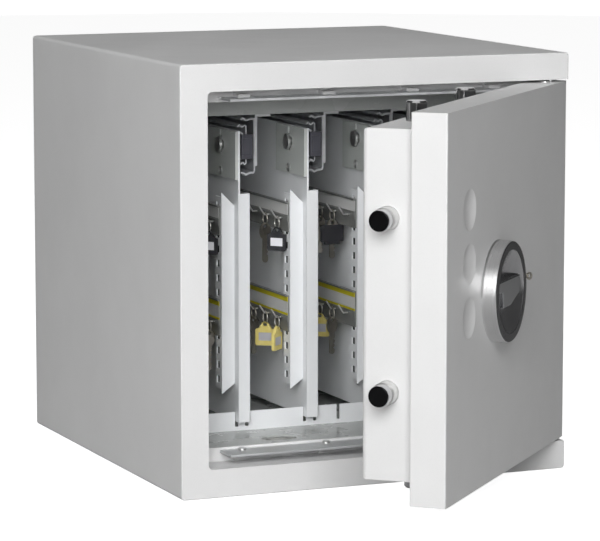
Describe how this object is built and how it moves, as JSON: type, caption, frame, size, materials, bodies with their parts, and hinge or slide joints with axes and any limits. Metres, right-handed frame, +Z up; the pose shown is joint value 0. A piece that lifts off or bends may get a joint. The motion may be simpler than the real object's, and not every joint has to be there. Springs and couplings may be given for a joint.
{
  "type": "key cabinet",
  "caption": "Heavy steel key cabinet with a swing door, rotary handle and sliding bolts, holding pull-out panels with hook rails, keys and tags.",
  "frame": {"origin": "centre of the underside of the body, on the surface it stands on", "axes": "+X to the right seen from the door side, +Y to the rear, +Z up"},
  "size_m": [0.4575, 0.7625, 0.46],
  "materials": {
    "grey_powder_coat": "light grey textured powder coat",
    "cavity_paint": "grey satin paint",
    "panel_paint": "off-white satin paint",
    "zinc_steel": "zinc plated sheet steel",
    "bolt_chrome": "polished chrome",
    "satin_ring": "turned satin metal with a dark face",
    "key_steel": "nickel plated, worn",
    "tag_plastic": "moulded, yellow or black",
    "filler": "mineral filling, never seen"
  },
  "bodies": {
    "cabinet": {"body_wrap": "grey_powder_coat", "rear_panel": "grey_powder_coat", "front_frame": "grey_powder_coat", "cavity_liner": "cavity_paint", "ceiling_pan": "cavity_paint", "wall_fill": "filler", "threshold_strip": "panel_paint", "lower_labyrinth_bar": "zinc_steel", "upper_labyrinth_bar": "zinc_steel", "labyrinth_screws": "zinc_steel", "hinge_bushes": "zinc_steel", "slide_brackets": "zinc_steel", "outer_rails": "zinc_steel"},
    "door": {"door_slab": "grey_powder_coat", "door_fill": "filler", "bolt_box": "grey_powder_coat", "hinge_pins": "bolt_chrome", "handle_ring": "satin_ring", "lock_case": "zinc_steel"},
    "handle": {"handle_grip": "bolt_chrome", "handle_cam": "zinc_steel"},
    "key": {"lock_key": "key_steel"},
    "side_bolt_set": {"side_bolts": "bolt_chrome", "side_bolt_sleeves": "zinc_steel", "side_tie_bar": "zinc_steel"},
    "top_bolt_set": {"top_bolts": "bolt_chrome", "top_tie_bar": "zinc_steel"},
    "bottom_bolt_set": {"bottom_bolts": "bolt_chrome", "bottom_tie_bar": "zinc_steel"},
    "panel_1": {"inner_rail_1": "zinc_steel", "panel_sheet_1": "panel_paint", "mount_plate_1": "cavity_paint", "upright_1": "panel_paint", "hook_rails_1": "cavity_paint", "keys_1": "key_steel", "key_tags_1": "tag_plastic"},
    "slide_1": {"middle_rail_1": "zinc_steel"},
    "panel_2": {"inner_rail_2": "zinc_steel", "panel_sheet_2": "panel_paint", "mount_plate_2": "cavity_paint", "upright_2": "panel_paint", "hook_rails_2": "cavity_paint", "keys_2": "key_steel", "key_tags_2": "tag_plastic"},
    "slide_2": {"middle_rail_2": "zinc_steel"},
    "panel_3": {"inner_rail_3": "zinc_steel", "panel_sheet_3": "panel_paint", "mount_plate_3": "cavity_paint", "upright_3": "panel_paint", "hook_rails_3": "cavity_paint", "keys_3": "key_steel", "key_tags_3": "tag_plastic"},
    "slide_3": {"middle_rail_3": "zinc_steel"},
    "panel_4": {"inner_rail_4": "zinc_steel", "panel_sheet_4": "panel_paint", "mount_plate_4": "cavity_paint", "upright_4": "panel_paint", "hook_rails_4": "cavity_paint"},
    "slide_4": {"middle_rail_4": "zinc_steel"}
  },
  "joints": [
    {"name": "door_hinge", "type": "hinge", "parent": "cabinet", "child": "door", "pos_m": [0.2115, -0.223, 0.23], "axis": [0, 0, 1], "range_deg": [-18.8, 89]},
    {"name": "handle_turn", "type": "hinge", "parent": "door", "child": "handle", "pos_m": [0.05865, -0.40479, 0.23], "axis": [-0.7218, 0.6921, 0], "range_deg": [0, 90]},
    {"name": "key_turn", "type": "hinge", "parent": "door", "child": "key", "pos_m": [0.10156, -0.36004, 0.2383], "axis": [-0.7218, 0.6921, 0], "range_deg": [0, 180]},
    {"name": "side_bolts_slide", "type": "slide", "parent": "door", "child": "side_bolt_set", "axis": [0.6921, 0.7218, 0], "range_m": [0, 0.0261]},
    {"name": "top_bolts_slide", "type": "slide", "parent": "door", "child": "top_bolt_set", "axis": [0, 0, -1], "range_m": [0, 0.0201]},
    {"name": "bottom_bolts_slide", "type": "slide", "parent": "door", "child": "bottom_bolt_set", "axis": [0, 0, 1], "range_m": [0, 0.0221]},
    {"name": "panel_1_slide", "type": "slide", "parent": "cabinet", "child": "panel_1", "axis": [0, -1, 0], "range_m": [0, 0.3]},
    {"name": "middle_rail_1_slide", "type": "slide", "parent": "cabinet", "child": "slide_1", "axis": [0, -1, 0], "range_m": [0, 0.1505]},
    {"name": "panel_2_slide", "type": "slide", "parent": "cabinet", "child": "panel_2", "axis": [0, -1, 0], "range_m": [0, 0.215]},
    {"name": "middle_rail_2_slide", "type": "slide", "parent": "cabinet", "child": "slide_2", "axis": [0, -1, 0], "range_m": [0, 0.108]},
    {"name": "panel_3_slide", "type": "slide", "parent": "cabinet", "child": "panel_3", "axis": [0, -1, 0], "range_m": [0, 0.13]},
    {"name": "middle_rail_3_slide", "type": "slide", "parent": "cabinet", "child": "slide_3", "axis": [0, -1, 0], "range_m": [0, 0.0655]},
    {"name": "panel_4_slide", "type": "slide", "parent": "cabinet", "child": "panel_4", "axis": [0, -1, 0], "range_m": [0, 0.06]},
    {"name": "middle_rail_4_slide", "type": "slide", "parent": "cabinet", "child": "slide_4", "axis": [0, -1, 0], "range_m": [0, 0.0305]}
  ],
  "couplings": [
    {"joint": "side_bolts_slide", "follows": "handle_turn", "m_per_rad": 0.016552},
    {"joint": "top_bolts_slide", "follows": "handle_turn", "m_per_rad": 0.012732},
    {"joint": "bottom_bolts_slide", "follows": "handle_turn", "m_per_rad": 0.014006},
    {"joint": "middle_rail_1_slide", "follows": "panel_1_slide", "ratio": 0.5},
    {"joint": "middle_rail_2_slide", "follows": "panel_2_slide", "ratio": 0.5},
    {"joint": "middle_rail_3_slide", "follows": "panel_3_slide", "ratio": 0.5},
    {"joint": "middle_rail_4_slide", "follows": "panel_4_slide", "ratio": 0.5}
  ]
}
